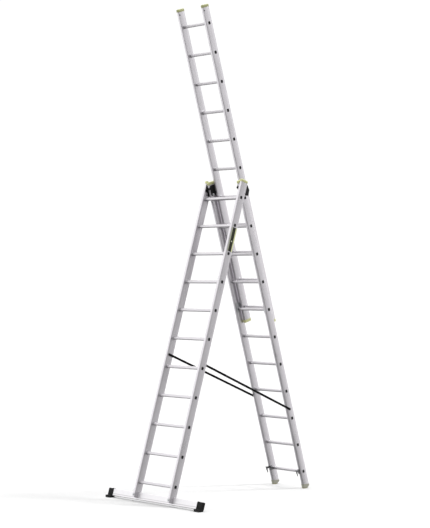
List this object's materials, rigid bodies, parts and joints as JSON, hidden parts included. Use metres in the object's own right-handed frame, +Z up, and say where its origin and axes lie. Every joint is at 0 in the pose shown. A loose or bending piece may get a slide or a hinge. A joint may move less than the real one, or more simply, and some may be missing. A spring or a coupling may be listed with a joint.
{
  "type": "combination ladder",
  "caption": "Three-section combination ladder set up as an A-frame with a raised fly section, stabiliser bar, hinge brackets, hooks and spreader straps.",
  "frame": {"origin": "on the floor, in the middle of the footprint of the opened ladder", "axes": "+X along the rungs, +Y from the front leg with the stabiliser bar to the rear leg, +Z up"},
  "size_m": [1.3186, 1.8934, 4.661],
  "materials": {
    "stile": "extruded, lightly drawn, satin",
    "rung": "extruded with fine grip ribs",
    "bar": "extruded, satin",
    "rubber": "moulded black rubber",
    "steel": "zinc-plated, darkened",
    "bracket": "black glass-filled moulding",
    "webbing": "woven black webbing",
    "cap": "yellow-green moulding",
    "foot": "pale grey moulding on an olive tread"
  },
  "bodies": {
    "front_section": {"front_hinge_bracket_left": "bracket", "front_hinge_bracket_right": "bracket", "front_rung_01": "rung", "front_rung_02": "rung", "front_rung_03": "rung", "front_rung_04": "rung", "front_rung_05": "rung", "front_rung_06": "rung", "front_rung_07": "rung", "front_rung_08": "rung", "front_rung_09": "rung", "front_rung_10": "rung", "front_rung_11": "rung", "front_stile_left": "stile", "front_stile_right": "stile", "front_top_cap_left": "cap", "front_top_cap_right": "cap", "stabiliser_bar": "bar", "stabiliser_shoe_left": "rubber", "stabiliser_shoe_right": "rubber", "strap_left": "webbing", "strap_right": "webbing"},
    "rear_section": {"rear_foot_left": "foot", "rear_foot_right": "foot", "rear_hinge_bracket_left": "bracket", "rear_hinge_bracket_right": "bracket", "rear_hook_left": "steel", "rear_hook_right": "steel", "rear_rung_01": "rung", "rear_rung_02": "rung", "rear_rung_03": "rung", "rear_rung_04": "rung", "rear_rung_05": "rung", "rear_rung_06": "rung", "rear_rung_07": "rung", "rear_rung_08": "rung", "rear_rung_09": "rung", "rear_rung_10": "rung", "rear_rung_11": "rung", "rear_stile_left": "stile", "rear_stile_right": "stile"},
    "fly_section": {"fly_foot_left": "cap", "fly_foot_right": "cap", "fly_hook_left": "steel", "fly_hook_right": "steel", "fly_rung_01": "rung", "fly_rung_02": "rung", "fly_rung_03": "rung", "fly_rung_04": "rung", "fly_rung_05": "rung", "fly_rung_06": "rung", "fly_rung_07": "rung", "fly_rung_08": "rung", "fly_rung_09": "rung", "fly_rung_10": "rung", "fly_rung_11": "rung", "fly_stile_left": "stile", "fly_stile_right": "stile", "fly_top_cap_left": "cap", "fly_top_cap_right": "cap"}
  },
  "joints": [
    {"name": "frame_hinge", "type": "hinge", "parent": "front_section", "child": "rear_section", "pos_m": [0, 0.01316, 2.89801], "axis": [-1, 0, 0], "range_deg": [0, 32.1], "deforming": ["strap_left", "strap_right"]},
    {"name": "fly_slide", "type": "slide", "parent": "rear_section", "child": "fly_section", "axis": [0, -0.2872, 0.9579], "range_m": [-1.68, 0.56]}
  ]
}
